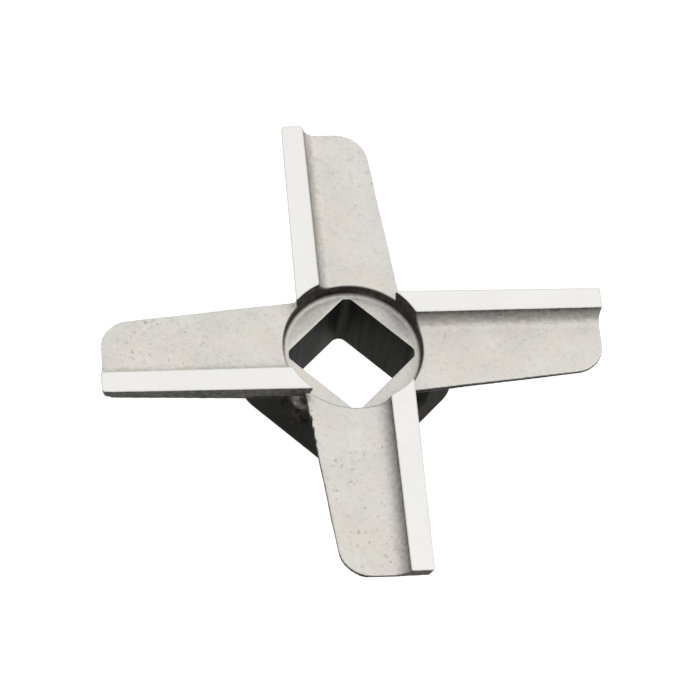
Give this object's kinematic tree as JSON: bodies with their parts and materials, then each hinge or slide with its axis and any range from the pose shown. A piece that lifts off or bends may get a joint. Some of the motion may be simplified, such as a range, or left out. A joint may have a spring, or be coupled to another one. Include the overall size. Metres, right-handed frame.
{
  "type": "meat grinder knife",
  "caption": "Cast steel knife with straight arms, ground cutting lands and a square drive hole in a recessed hub, for a screw-fed meat grinder.",
  "frame": {"origin": "on the drive axis, in the plane of the hub's back face", "axes": "+Z along the drive axis, from the hub's back face to the cutting lands; X and Y square to the flats of the drive hole, so the arms lie on the diagonals"},
  "size_m": [0.0664, 0.0664, 0.016],
  "materials": {
    "cast_steel": "as-cast light grey steel with a fine blasted texture; cutting lands ground smooth and bright"
  },
  "bodies": {
    "root": {"grinder_knife": "cast_steel"}
  },
  "joints": []
}
